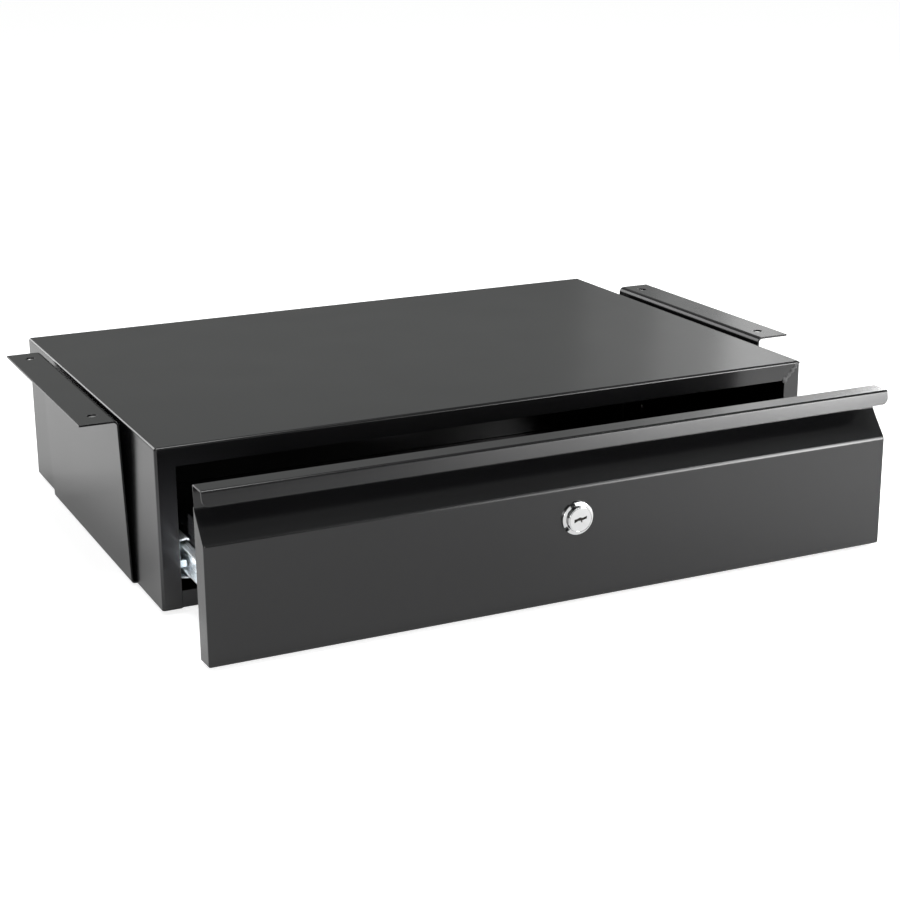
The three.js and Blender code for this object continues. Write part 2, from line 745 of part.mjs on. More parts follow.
const drawer = new THREE.Group();
drawer.position.y = drawerY;
safe.add(drawer);
piece('drawer_pan', drawerPan(), powderCoat, drawer);
piece('drawer_front', drawerFront(), powderCoat, drawer);
piece('front_back_plate', frontBackPlate(), powderCoat, drawer);
frontScrews(drawer);
for (const [name, side] of Object.entries(sides)) {
  piece(`slide_inner_${name}`, slideInner(side), zinc, drawer);
  const innerFace = side * (slideHalf - slideThick + slideSheet + seat);
  const innerLength = slideSheet + 2 * seat + panSheet + slideScrewTip;
  slideScrews(`slide_inner_screw_${name}`, innerScrewPlaces, innerFace, -side, innerY[0], innerLength, drawer);
}
lockParts(drawer);

export default safe;
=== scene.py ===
"""Under-desk drawer safe: its looks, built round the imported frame.

Metres, X along the front, Y to the rear, Z up. The sections follow the safe as it is put
together: cabinet, hanging brackets, slides, drawer, lock, and then the studio round it.
"""
import math

import bmesh
import bpy
from mathutils import Matrix, Vector


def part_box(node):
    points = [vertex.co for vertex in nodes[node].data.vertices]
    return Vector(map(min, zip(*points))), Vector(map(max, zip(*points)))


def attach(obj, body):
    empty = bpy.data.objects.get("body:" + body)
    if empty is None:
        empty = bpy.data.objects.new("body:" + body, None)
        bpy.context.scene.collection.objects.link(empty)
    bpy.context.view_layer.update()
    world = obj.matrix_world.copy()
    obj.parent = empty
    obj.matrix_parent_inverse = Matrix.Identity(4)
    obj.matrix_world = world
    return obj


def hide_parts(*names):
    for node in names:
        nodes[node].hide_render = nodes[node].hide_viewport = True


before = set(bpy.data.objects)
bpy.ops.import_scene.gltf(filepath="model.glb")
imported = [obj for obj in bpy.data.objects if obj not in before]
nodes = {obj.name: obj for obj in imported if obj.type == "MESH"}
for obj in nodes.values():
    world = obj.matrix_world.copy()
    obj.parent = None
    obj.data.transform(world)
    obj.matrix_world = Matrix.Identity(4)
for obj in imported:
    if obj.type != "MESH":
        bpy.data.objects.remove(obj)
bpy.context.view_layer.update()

MM = 0.001

# ------------------------------------------------------------------ cabinet wrap
# The top and both side walls are one sheet of 1.2 mm steel, folded down at the sides and
# turned in at the front as a face frame. Powder coated semi-gloss black after welding.


class Feed:
    """A value or colour on its way through a finish; sums with it make the maths nodes."""

    def __init__(self, tree, socket):
        self.tree = tree
        self.socket = socket

    def node(self, kind, settings, inputs, output=0):
        """Any other node: its settings first, then what goes into its sockets."""
        made = self.tree.nodes.new(kind)
        for name, value in settings.items():
            setattr(made, name, value)
        for name, value in inputs.items():
            into = made.inputs[name]
            if isinstance(value, Feed):
                self.tree.links.new(value.socket, into)
            else:
                into.default_value = value
        return Feed(self.tree, made.outputs[output])

    def sum(self, operation, first, second):
        return self.node("ShaderNodeMath", {"operation": operation}, {0: first, 1: second})

    def __add__(self, other):
        return self.sum("ADD", self, other)

    def __radd__(self, other):
        return self.sum("ADD", other, self)

    def __sub__(self, other):
        return self.sum("SUBTRACT", self, other)

    def __rsub__(self, other):
        return self.sum("SUBTRACT", other, self)

    def __mul__(self, other):
        return self.sum("MULTIPLY", self, other)

    def __rmul__(self, other):
        return self.sum("MULTIPLY", other, self)

    def between(self, low, high):
        """Runs from 0 at low to 1 at high, and stays there on either side."""
        return self.node("ShaderNodeMapRange", {}, {
            "Value": self, "From Min": low, "From Max": high,
        })

    def tint(self, first, second):
        """A colour mixed from two by this value."""
        return self.node("ShaderNodeMix", {"data_type": "RGBA"}, {
            0: self, 6: first, 7: second,
        }, output=2)

    def grain(self, size, detail=2.0, stretch=(1, 1, 1)):
        """Cloudy noise on this place, with patches about one size across."""
        spread = self.node("ShaderNodeVectorMath", {"operation": "MULTIPLY"}, {
            0: self, 1: stretch,
        })
        return self.node("ShaderNodeTexNoise", {}, {
            "Vector": spread, "Scale": 1 / size, "Detail": detail,
        })


def finish_named(name):
    """A new finish, with its shader and the place on the piece that its patterns read."""
    finish = bpy.data.materials.new(name)
    finish.use_nodes = True
    tree = finish.node_tree
    shader = tree.nodes["Principled BSDF"]
    place = tree.nodes.new("ShaderNodeTexCoord").outputs["Object"]
    return finish, shader, Feed(tree, place)


def feed_shader(shader, **feeds):
    for name, feed in feeds.items():
        feed.tree.links.new(feed.socket, shader.inputs[name.replace("_", " ")])


def set_shader(shader, **values):
    for name, value in values.items():
        shader.inputs[name.replace("_", " ")].default_value = value


def relief(height, depth):
    """A normal raised by a height from 0 to 1, as deep as given."""
    return height.node("ShaderNodeBump", {}, {
        "Height": height, "Distance": depth, "Strength": 1.0,
    })


deep_black = (0.0045, 0.0045, 0.005, 1)
dusty_black = (0.0075, 0.0075, 0.008, 1)
peel_depth = 0.012 * MM

powder_coat, shader, place = finish_named("powder_coat")
set_shader(shader, Metallic=0.0, IOR=1.5)
peel = place.grain(1.4 * MM, detail=1.0)
grit = place.grain(0.35 * MM, detail=1.0)
cloud = place.grain(60 * MM, detail=3.0)
feed_shader(
    shader,
    Base_Color=(0.5 * cloud + 0.5 * grit).tint(deep_black, dusty_black),
    Roughness=0.14 + 0.05 * cloud + 0.05 * grit,
    Normal=relief(0.7 * peel + 0.3 * grit, peel_depth),
)


def object_mode():
    if bpy.context.mode != "OBJECT":
        bpy.ops.object.mode_set(mode="OBJECT")


def take_up(piece=None):
    """Puts down what is in hand and, if given, takes up this piece alone."""
    object_mode()
    bpy.ops.object.select_all(action="DESELECT")
    if piece:
        bpy.context.view_layer.objects.active = piece
        piece.select_set(True)


def settle():
    """Moves the new piece's place, turn and size into its mesh."""
    bpy.ops.object.transform_apply(location=True, rotation=True, scale=True)


def open_block(low, high):
    """A box from corner to corner, open for editing."""
    low, high = Vector(low), Vector(high)
    take_up()
    bpy.ops.mesh.primitive_cube_add(size=1, location=(low + high) / 2, scale=high - low)
    settle()
    bpy.ops.object.mode_set(mode="EDIT")
    return bpy.context.object


def choose(kind, test):
    """Selects the corners, edges or faces of the open mesh whose middle and normal pass.

    For an edge, the second value is the step from one end to the other.
    """
    bpy.ops.mesh.select_mode(type=kind)
    bpy.ops.mesh.select_all(action="DESELECT")
    mesh = bmesh.from_edit_mesh(bpy.context.edit_object.data)
    if kind == "VERT":
        for corner in mesh.verts:
            corner.select = bool(test(corner.co, corner.normal))
    elif kind == "EDGE":
        for edge in mesh.edges:
            a, b = edge.verts[0].co, edge.verts[1].co
            edge.select = bool(test((a + b) / 2, b - a))
    else:
        for face in mesh.faces:
            face.select = bool(test(face.calc_center_median(), face.normal))
    mesh.select_flush_mode()
    bmesh.update_edit_mesh(bpy.context.edit_object.data)


NEAR = 0.01 * MM


def at(value, target):
    return abs(value - target) < NEAR


def bend_edges(radius, turn=math.pi / 2, steps=6):
    """Rounds the selected fold lines to a bend of this radius."""
    bpy.ops.mesh.bevel(
        offset=radius * math.tan(turn / 2), offset_type="OFFSET", segments=steps,
        profile=0.5, affect="EDGES", clamp_overlap=False,
    )


def apply_modifier(kind, **settings):
    """Adds a modifier to the piece in hand and applies it."""
    object_mode()
    bpy.ops.object.modifier_add(type=kind)
    modifier = bpy.context.object.modifiers[-1]
    for name, value in settings.items():
        setattr(modifier, name, value)
    bpy.ops.object.modifier_apply(modifier=modifier.name)


def give_sheet(thickness, side):
    """Turns an open skin into sheet metal; side 1 lays it on the normals' side, -1 behind."""
    apply_modifier(
        "SOLIDIFY", thickness=thickness, offset=side, use_even_offset=True,
        use_quality_normals=True,
    )


def break_edges(piece):
    """Rounds a sheet's sheared edges as far as the finish on them does."""
    take_up(piece)
    apply_modifier(
        "BEVEL", width=sheared_edge, segments=3, limit_method="ANGLE",
        angle_limit=math.radians(60), use_clamp_overlap=False,
    )


def cut_away(piece, cutter):
    """Takes the cutter's shape out of the piece."""
    take_up(piece)
    apply_modifier("BOOLEAN", operation="DIFFERENCE", solver="EXACT", object=cutter)
    bpy.data.objects.remove(cutter)


def hand_over(piece, name, body, slot, finish, *replaced, smooth=40):
    """Smooths and names a finished piece, and sets it in its place in the frame."""
    take_up(piece)
    bpy.ops.object.shade_smooth_by_angle(angle=math.radians(smooth))
    apply_modifier("WEIGHTED_NORMAL", weight=100, keep_sharp=True)
    piece.name = piece.data.name = name
    piece.data.materials.clear()
    piece.data.materials.append(finish)
    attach(piece, body)
    if replaced:
        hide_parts(*replaced)


def refinish(finish, *names):
    """Gives a CAD node that keeps its shape its real finish."""
    for name in names:
        for material_slot in nodes[name].material_slots:
            material_slot.material = finish


wrap_low, wrap_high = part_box("cabinet_shell")
wall_sheet = 1.2 * MM
wall_bend = 2 * MM
sheared_edge = 0.25 * MM
side_lip = 14 * MM
top_lip = 14 * MM
opening_half = wrap_high.x - side_lip
opening_top = wrap_high.z - top_lip

wrap = open_block(wrap_low, wrap_high)
choose("FACE", lambda p, n: n.z < -0.5 or n.y > 0.5)
bpy.ops.mesh.delete(type="FACE")
for plane, direction in (
    ((opening_half, 0, 0), (1, 0, 0)),
    ((-opening_half, 0, 0), (1, 0, 0)),
    ((0, 0, opening_top), (0, 0, 1)),
):
    choose("FACE", lambda p, n: n.y < -0.5)
    bpy.ops.mesh.bisect(plane_co=plane, plane_no=direction)
choose("FACE", lambda p, n: n.y < -0.5 and abs(p.x) < opening_half and p.z < opening_top)
bpy.ops.mesh.delete(type="FACE")
choose("EDGE", lambda p, d: (
    at(abs(p.x), wrap_high.x) and (at(p.z, wrap_high.z) or at(p.y, wrap_low.y))
    or at(p.z, wrap_high.z) and at(p.y, wrap_low.y)
))
bend_edges(wall_bend)
give_sheet(wall_sheet, -1)
break_edges(wrap)
hand_over(wrap, "cabinet_wrap", "cabinet", "powder_coat", powder_coat, "cabinet_shell")

# ------------------------------------------------------------------ corner weld
# The face frame's mitre at the right is closed by a short bead, run from the opening out to the
# corner, left as welded and coated over, its greys a painted highlight. The left one is dressed
# flush.
bead_half = 1.75 * MM
bead_rise = 0.9 * MM
bead_start = 0.4 * MM
bead_grain = 0.16 * MM
# How far along the bead each drop of it lies, and its size beside a plain one
bead_drops = (
    (0.00, 1.45), (0.17, 0.80), (0.28, 1.10), (0.41, 0.72), (0.53, 1.05),
    (0.66, 0.66), (0.77, 0.86), (0.88, 0.55), (0.98, 0.50),
)
# Greys lighter than the black coat round the bead: painted highlight on its ripples
sheen_grey_dark = (0.04, 0.04, 0.042, 1)
sheen_grey_light = (0.12, 0.12, 0.12, 1)
ripple_depth = 0.16 * MM

weld_coat, shader, place = finish_named("weld_coat")
set_shader(shader, Metallic=0.0, IOR=1.5)
ripple = place.grain(0.8 * MM, detail=2.0)
sheen_patches = place.grain(3 * MM, detail=2.0)
feed_shader(
    shader,
    Base_Color=sheen_patches.tint(sheen_grey_dark, sheen_grey_light),
    Roughness=0.3 + 0.2 * sheen_patches,
    Normal=relief(ripple, ripple_depth),
)

inner = Vector((opening_half + bead_start, wrap_low.y, opening_top + bead_start))
outer = Vector((wrap_high.x - wall_bend / 2, wrap_low.y, wrap_high.z - wall_bend / 2))
take_up()
drops = []
for along, swell in bead_drops:
    bpy.ops.mesh.primitive_uv_sphere_add(
        segments=20, ring_count=12, radius=1, location=inner.lerp(outer, along),
        scale=(bead_half * swell, min(swell, 1) * bead_rise, bead_half * swell),
    )
    drops.append(bpy.context.object)
for drop in drops:
    drop.select_set(True)
bpy.ops.object.join()
settle()
weld = bpy.context.object
apply_modifier("REMESH", mode="VOXEL", voxel_size=bead_grain)
apply_modifier("SMOOTH", factor=0.5, iterations=1)
hand_over(weld, "corner_weld", "cabinet", "powder_coat", weld_coat)

# ------------------------------------------------------------------ cabinet bottom and back
# The bottom sheet, with its own front lip, and the rear panel are folded separately and
# welded in between the walls. Both keep their CAD shape and take the same coat.
refinish(powder_coat, "cabinet_bottom", "cabinet_back")

# ------------------------------------------------------------------ hanging brackets
# A Z of 1.5 mm steel on each side: a drilled flange for the desk above, a web leaning a
# little outwards, and a foot screwed up into the cabinet's bottom.
bracket_sheet = 1.5 * MM
bracket_bend = 2.6 * MM
flange_bend = 4 * MM
foot_gap = 0.05 * MM
foot_lean = 1.5 * MM
foot_width = 20 * MM
web_lean = 5.2 * MM
desk_hole = 7 * MM
desk_hole_outset = 13 * MM
desk_hole_front = 20 * MM
desk_hole_rear = 17 * MM
cutter_past = 10 * MM


def drawn_line(points):
    """A line drawn from point to point, open for editing and all selected."""
    take_up()
    bpy.ops.mesh.primitive_plane_add(size=MM, location=points[0])
    settle()
    bpy.ops.object.mode_set(mode="EDIT")
    bpy.ops.mesh.select_mode(type="VERT")
    bpy.ops.mesh.select_all(action="SELECT")
    bpy.ops.mesh.merge(type="CENTER")
    for here, there in zip(points, points[1:]):
        bpy.ops.mesh.extrude_vertices_move(TRANSFORM_OT_translate={"value": there - here})
    bpy.ops.mesh.select_all(action="SELECT")


def pulled_skin(corners, bends, length, toward):
    """Draws a section corner by corner, pulls it out along its length and rounds its folds.

    bends gives each inner corner the radius on the drawn line. The normals of the first
    stretch look toward the side that its thickness is to lie on.
    """
    corners = [Vector(corner) for corner in corners]
    length = Vector(length)
    drawn_line(corners)
    bpy.ops.mesh.extrude_edges_move(TRANSFORM_OT_translate={"value": length})
    bpy.ops.mesh.select_mode(type="FACE")
    bpy.ops.mesh.select_all(action="SELECT")
    bpy.ops.mesh.normals_make_consistent(inside=False)
    middle = (corners[0] + corners[1] + length) / 2
    mesh = bmesh.from_edit_mesh(bpy.context.edit_object.data)
    face = min(mesh.faces, key=lambda f: (f.calc_center_median() - middle).length)
    if face.normal.dot(Vector(toward)) < 0:
        bpy.ops.mesh.flip_normals()
    for i, radius in enumerate(bends, start=1):
        into = corners[i] - corners[i - 1]
        out = corners[i + 1] - corners[i]
        line = corners[i] + length / 2
        choose("EDGE", lambda p, d: (p - line).length < NEAR)
        bend_edges(radius, into.angle(out))
    return bpy.context.object


def drill(piece, centre, size, through):
    """A round hole of this size, straight through along a direction."""
    take_up()
    through = Vector(through)
    bpy.ops.mesh.primitive_cylinder_add(
        vertices=40, radius=size / 2, depth=2 * through.length, location=centre,
        rotation=through.to_track_quat("Z", "Y").to_euler(),
    )
    settle()
    cut_away(piece, bpy.context.object)


for side, name in ((-1, "left"), (1, "right")):
    low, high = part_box(f"bracket_{name}")
    foot_x = side * (wrap_high.x + foot_lean)
    web_x = side * (wrap_high.x + web_lean)
    flange_x = low.x if side < 0 else high.x
    bracket = pulled_skin(
        (
            (foot_x - side * foot_width, low.y, wrap_low.z - foot_gap),
            (foot_x, low.y, wrap_low.z - foot_gap),
            (web_x, low.y, high.z),
            (flange_x, low.y, high.z),
        ),
        (bracket_bend - bracket_sheet, flange_bend),
        (0, high.y - low.y, 0), (0, 0, -1),
    )
    give_sheet(bracket_sheet, 1)
    for y in (low.y + desk_hole_front, high.y - desk_hole_rear):
        centre = (web_x + side * desk_hole_outset, y, high.z)
        drill(bracket, centre, desk_hole, (0, 0, cutter_past))
    break_edges(bracket)
    hand_over(
        bracket, f"hanging_bracket_{name}", "cabinet", "powder_coat", powder_coat,
        f"bracket_{name}",
    )

# ------------------------------------------------------------------ slide mounts
# Welded channels that carry the slides in line with the face frame's opening.
refinish(powder_coat, "slide_mount_left", "slide_mount_right")

# ------------------------------------------------------------------ outer slide members
# The fixed half of each drawer slide: bright zinc plated steel rolled to a C with flared,
# curled edges, and a stop tab lanced out of its web at the front end.
blue_zinc = (0.63, 0.70, 0.76, 1)
pale_zinc = (0.76, 0.78, 0.79, 1)
rolled_depth = 0.006 * MM

zinc_plate, shader, place = finish_named("zinc_plate")
rolled = place.grain(0.5 * MM, detail=2.0, stretch=(1, 0.02, 1))
bloom = place.grain(22 * MM, detail=3.0)
set_shader(shader, Metallic=0.75)
feed_shader(
    shader,
    Base_Color=bloom.between(0.3, 0.7).tint(blue_zinc, pale_zinc),
    Roughness=0.20 + 0.10 * rolled + 0.06 * bloom,
    Normal=relief(rolled, rolled_depth),
)

rail_sheet = 1.2 * MM
rail_bend = 1.8 * MM
rail_web = 26.8 * MM
rail_height = 29.4 * MM
rail_curl = 2.4 * MM
tab_reach = 4.3 * MM
tab_height = 5 * MM
tab_drop = 1.5 * MM
tab_setback = 1.5 * MM
tab_round = 0.8 * MM

for side, name in ((-1, "left"), (1, "right")):
    low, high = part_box(f"slide_outer_{name}")
    centre_z = (low.z + high.z) / 2
    web_x, edge_x = (low.x, high.x) if side < 0 else (high.x, low.x)
    tip, root = rail_height / 2, rail_web / 2
    rail = pulled_skin(
        (
            (edge_x, low.y, centre_z + tip - rail_curl),
            (edge_x, low.y, centre_z + tip),
            (web_x, low.y, centre_z + root),
            (web_x, low.y, centre_z - root),
            (edge_x, low.y, centre_z - tip),
            (edge_x, low.y, centre_z - tip + rail_curl),
        ),
        4 * (rail_bend,), (0, high.y - low.y, 0), (side, 0, 0),
    )
    give_sheet(rail_sheet, 1)
    break_edges(rail)
    tab_x = sorted((web_x - side * rail_sheet / 2, web_x - side * (rail_sheet + tab_reach)))
    tab = open_block(
        (tab_x[0], low.y + tab_setback, centre_z - tab_drop - tab_height),
        (tab_x[1], low.y + tab_setback + rail_sheet, centre_z - tab_drop),
    )
    choose("EDGE", lambda p, d: abs(d.y) > NEAR and abs(p.x) < abs(web_x) - 2 * rail_sheet)
    bend_edges(tab_round, steps=4)
    take_up(rail)
    tab.select_set(True)
    bpy.ops.object.join()
    hand_over(
        rail, f"slide_rail_{name}", "cabinet", "zinc_plate", zinc_plate, f"slide_outer_{name}",
    )

# ------------------------------------------------------------------ screws
# Low round-headed machine screws with a hexagon socket, zinc plated: four in the brackets'
# feet, with their nuts, and two in each outer slide member. The others are set further on.
socket_size = 3 * MM
socket_depth = 1.2 * MM
head_roundness = 0.62
tip_bevel = 0.1
bracket_screw = {"size": 5 * MM, "head": 9.5 * MM, "head_height": 2 * MM, "shank": 7.4 * MM}
slide_screw = {"size": 4 * MM, "head": 7 * MM, "head_height": 1.6 * MM}
outer_shank = 5.5 * MM


def turned_screw(size, head, head_height, shank):
    """A screw standing on its shank: the head's seat at the origin, its top upwards."""
    take_up()
    bpy.ops.mesh.primitive_cylinder_add(
        vertices=32, radius=head / 2, depth=head_height, location=(0, 0, head_height / 2),
    )
    settle()
    made = bpy.context.object
    bpy.ops.object.mode_set(mode="EDIT")
    choose("EDGE", lambda p, d: at(p.z, head_height) and p.xy.length > head / 4)
    bpy.ops.mesh.bevel(
        offset=head_roundness * head_height, segments=6, profile=0.5, affect="EDGES",
    )
    choose("FACE", lambda p, n: n.z < -0.9)
    bpy.ops.mesh.inset(thickness=(head - size) / 2)
    bpy.ops.mesh.extrude_region_move(TRANSFORM_OT_translate={"value": (0, 0, -shank)})
    choose("EDGE", lambda p, d: at(p.z, -shank))
    bpy.ops.mesh.bevel(offset=tip_bevel * size, segments=2, affect="EDGES")
    take_up()
    bpy.ops.mesh.primitive_cylinder_add(
        vertices=6, radius=socket_size / 2, depth=2 * socket_depth,
        location=(0, 0, head_height),
    )
    cut_away(made, bpy.context.object)
    return made


def set_screws(made, heading, body, finish, slot, names):
    """One copy of a screw at each CAD screw of that name, its head looking along heading."""
    turn = Vector(heading).to_track_quat("Z", "Y").to_matrix().to_4x4()
    height = max(corner[2] for corner in made.bound_box)
    for name in names:
        low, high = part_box(name)
        middle, half = (low + high) / 2, (high - low) / 2
        top = middle + Vector(h * abs(d) * (1 if d > 0 else -1) for h, d in zip(half, heading))
        copy = made.copy()
        copy.data = made.data.copy()
        bpy.context.scene.collection.objects.link(copy)
        copy.data.transform(Matrix.Translation(top - Vector(heading) * height) @ turn)
        hand_over(copy, f"{name}_turned", body, slot, finish, name)
    bpy.data.objects.remove(made)


ends = ("front", "rear")
corners = [f"{name}_{end}" for name in ("left", "right") for end in ends]
set_screws(
    turned_screw(**bracket_screw), (0, 0, -1), "cabinet", zinc_plate, "zinc_plate",
    [f"bracket_screw_{corner}" for corner in corners],
)
for side, name in ((-1, "left"), (1, "right")):
    set_screws(
        turned_screw(**slide_screw, shank=outer_shank), (-side, 0, 0), "cabinet", zinc_plate,
        "zinc_plate", [f"slide_outer_screw_{name}_{end}" for end in ends],
    )
refinish(zinc_plate, *(f"bracket_nut_{corner}" for corner in corners))

# ------------------------------------------------------------------ ball cages
# Rows of balls in pale moulded acetal strips, which run at half the drawer's pace. A strip
# and its balls are one node, so both take the strip's finish.
shaded_acetal = (0.66, 0.66, 0.62, 1)
pale_acetal = (0.74, 0.74, 0.70, 1)
mottle_depth = 0.01 * MM

acetal, shader, place = finish_named("acetal")
mottle = place.grain(3 * MM, detail=2.0)
feed_shader(
    shader,
    Base_Color=mottle.tint(shaded_acetal, pale_acetal),
    Roughness=0.38 + 0.1 * mottle,
    Normal=relief(mottle, mottle_depth),
)
refinish(acetal, *(
    f"ball_cage_{name}_{level}" for name in ("left", "right") for level in ("upper", "lower")
))

# ------------------------------------------------------------------ drawer tray
# Folded from 1 mm steel, with hemmed rims and a cut-out behind the lock. Powder coated
# inside and out.
tray_low, tray_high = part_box("drawer_pan")
tray_sheet = 1 * MM
tray_corner = 3 * MM
tray_fold = 1.6 * MM
hem_thick = 2.1 * MM
hem_round = 0.98 * MM
hem_drop = 6 * MM
tray_middle = (tray_low + tray_high) / 2
lock_low, lock_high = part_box("lock_housing")
lock_axis = (lock_low + lock_high) / 2
lock_notch = 18 * MM
lock_notch_corner = 6 * MM

tray = open_block(tray_low, tray_high)
choose("FACE", lambda p, n: n.z > 0.5)
bpy.ops.mesh.delete(type="FACE")
choose("EDGE", lambda p, d: abs(d.z) > MM)
bend_edges(tray_corner)
choose("EDGE", lambda p, d: at(p.z, tray_low.z) and abs(d.z) < NEAR)
bend_edges(tray_fold, steps=4)
give_sheet(tray_sheet, -1)
bpy.ops.object.mode_set(mode="EDIT")
bpy.ops.mesh.select_all(action="SELECT")
bpy.ops.mesh.bisect(plane_co=(0, 0, tray_high.z - hem_drop), plane_no=(0, 0, 1))
choose("FACE", lambda p, n: (
    p.z > tray_high.z - hem_drop and abs(n.z) < 0.1
    and n.xy.dot(p.xy - tray_middle.xy) < 0 and not at(abs(p.x), tray_high.x)
))
bpy.ops.mesh.extrude_region_shrink_fatten(
    TRANSFORM_OT_shrink_fatten={"value": hem_thick - tray_sheet, "use_even_offset": True},
)
choose("FACE", lambda p, n: at(p.z, tray_high.z))
bpy.ops.mesh.select_mode(type="EDGE")
bpy.ops.mesh.region_to_loop()
bend_edges(hem_round, steps=4)
notch = open_block(
    (lock_axis.x - lock_notch, tray_low.y - cutter_past, lock_axis.z - lock_notch),
    (lock_axis.x + lock_notch, tray_low.y + cutter_past, tray_high.z + cutter_past),
)
choose("EDGE", lambda p, d: abs(d.y) > MM and at(p.z, lock_axis.z - lock_notch))
bend_edges(lock_notch_corner)
cut_away(tray, notch)
break_edges(tray)
hand_over(tray, "drawer_tray", "drawer", "powder_coat", powder_coat, "drawer_pan")

# ------------------------------------------------------------------ drawer front
# One sheet of 1.2 mm steel: a flat face with side and bottom returns, a finger recess
# sloping back above it, and a lip along the top that turns forwards and down.
front_low, front_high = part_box("drawer_front")
front_sheet = 1.2 * MM
front_bend = 2 * MM
crease_bend = 5 * MM
recess_bend = 4 * MM
lip_proud = 1.5 * MM
lip_drop = 10.4 * MM
lip_lean = 1.3 * MM
lip_corner = 5 * MM
crease_rise = 81 * MM
recess_rise = 100 * MM
side_bend = 1.4 * MM
lock_hole = 19.1 * MM
face_y = front_low.y + lip_proud
wall_y = front_high.y - front_sheet
crease_z = front_low.z + crease_rise
recess_z = front_low.z + recess_rise

front = pulled_skin(
    (
        (front_low.x, front_high.y, front_low.z),
        (front_low.x, face_y, front_low.z),
        (front_low.x, face_y, crease_z),
        (front_low.x, wall_y, recess_z),
        (front_low.x, wall_y, front_high.z - front_sheet),
        (front_low.x, front_low.y + lip_lean + front_sheet, front_high.z - front_sheet),
        (front_low.x, front_low.y + front_sheet, front_high.z - lip_drop),
    ),
    (front_bend, crease_bend, recess_bend) + 2 * (front_bend - front_sheet,),
    (front_high.x - front_low.x, 0, 0), (0, 0, 1),
)
# Side returns, pulled back from the face's ends to the rear edge
return_foot = front_low.z + NEAR
return_top = recess_z + recess_bend / 2
bend_foot = recess_z - recess_bend / 2
choose("EDGE", lambda p, d: (
    abs(d.x) < NEAR and return_foot < p.z < return_top and not at(p.y, wall_y)
))
bpy.ops.mesh.extrude_edges_move(TRANSFORM_OT_translate={"value": (0, 0, 0)})
bpy.ops.transform.resize(value=(1, 0, 1), center_override=front_high)
bpy.ops.mesh.select_all(action="SELECT")
bpy.ops.mesh.remove_doubles(threshold=NEAR)
choose("FACE", lambda p, n: abs(n.x) > 0.9)
bpy.ops.mesh.dissolve_faces()
choose("EDGE", lambda p, d: (
    abs(d.x) < NEAR and p.y < front_high.y - NEAR and p.z < bend_foot
    and at(abs(p.x), front_high.x) and (at(p.z, front_low.z) or abs(d.z) > NEAR)
))
bend_edges(side_bend, steps=4)
choose("VERT", lambda p, n: (
    at(abs(p.x), front_high.x) and at(p.y, front_high.y)
    and return_foot < p.z < bend_foot
))
bpy.ops.mesh.dissolve_verts()
# Rounded lower corners of the lip
choose("VERT", lambda p, n: (
    at(abs(p.x), front_high.x) and at(p.z, front_high.z - lip_drop)
))
bpy.ops.mesh.bevel(
    offset=lip_corner, offset_type="OFFSET", segments=8, profile=0.5, affect="VERTICES",
)
give_sheet(front_sheet, 1)
drill(front, (lock_axis.x, face_y, lock_axis.z), lock_hole, (0, cutter_past, 0))
break_edges(front)
hand_over(front, "drawer_face", "drawer", "powder_coat", powder_coat, "drawer_front")

# ------------------------------------------------------------------ front's back plate
# A flat plate closes the hollow front from behind and takes the tray's four screws, which
# come through the tray's front wall.
refinish(powder_coat, "front_back_plate")

front_screw = {"size": 4 * MM, "head": 8 * MM, "head_height": 2.2 * MM, "shank": 5.1 * MM}
levels = ("lower", "upper")
set_screws(
    turned_screw(**front_screw), (0, 1, 0), "drawer", zinc_plate, "zinc_plate",
    [f"front_screw_{name}_{level}" for name in ("left", "right") for level in levels],
)

# ------------------------------------------------------------------ inner slide members
# The running half of each slide, a smaller C with three screws to the tray's side.
inner_shank = 2.4 * MM
inner_places = ("front", "middle", "rear")

for side, name in ((-1, "left"), (1, "right")):
    low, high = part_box(f"slide_inner_{name}")
    web_x, edge_x = (high.x, low.x) if side < 0 else (low.x, high.x)
    rail = pulled_skin(
        (
            (edge_x, low.y, low.z), (web_x, low.y, low.z),
            (web_x, low.y, high.z), (edge_x, low.y, high.z),
        ),
        2 * (rail_bend,), (0, high.y - low.y, 0), (0, 0, 1),
    )
    give_sheet(rail_sheet, 1)
    break_edges(rail)
    hand_over(
        rail, f"slide_runner_{name}", "drawer", "zinc_plate", zinc_plate, f"slide_inner_{name}",
    )
    set_screws(
        turned_screw(**slide_screw, shank=inner_shank), (side, 0, 0), "drawer", zinc_plate,
        "zinc_plate", [f"slide_inner_screw_{name}_{place}" for place in inner_places],
    )

# ------------------------------------------------------------------ lock housing
# Die-cast and chromed: a conical bezel with two spanner notches in front of the drawer
# face, and a barrel that a hexagon nut clamps from behind.
grey_chrome = (0.57, 0.57, 0.575, 1)
pale_chrome = (0.63, 0.63, 0.63, 1)
hairline_depth = 0.001 * MM

chrome, shader, place = finish_named("chrome")
set_shader(shader, Metallic=1.0)
film = place.grain(4 * MM, detail=2.0)
hairline = place.grain(0.12 * MM, detail=2.0, stretch=(1, 1, 0.15))
feed_shader(
    shader,
    Base_Color=film.tint(grey_chrome, pale_chrome),
    Roughness=0.07 + 0.05 * film + 0.04 * hairline,
    Normal=relief(hairline, hairline_depth),
)

plug_low, plug_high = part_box("lock_plug")
plug_size = plug_high.x - plug_low.x
bezel_size = 23.2 * MM
bezel_depth = 3.4 * MM
bezel_set_back = 1.5 * MM
bezel_cone = 0.45 * MM
bezel_round = 0.35 * MM
seat_gap = 0.35 * MM
seat_size = plug_size + 2 * seat_gap
seat_depth = 1.2 * MM
barrel_size = 18.6 * MM
bore_size = 12.7 * MM
notch_width = 3.6 * MM
notch_angles = (114, 216)


def turned_disc(size, front_y, back_y):
    """A round blank on the lock's axis, open for editing."""
    take_up()
    bpy.ops.mesh.primitive_cylinder_add(
        vertices=96, radius=size / 2, depth=back_y - front_y,
        location=(lock_axis.x, (front_y + back_y) / 2, lock_axis.z),
        rotation=(math.pi / 2, 0, 0),
    )
    settle()
    bpy.ops.object.mode_set(mode="EDIT")
    return bpy.context.object


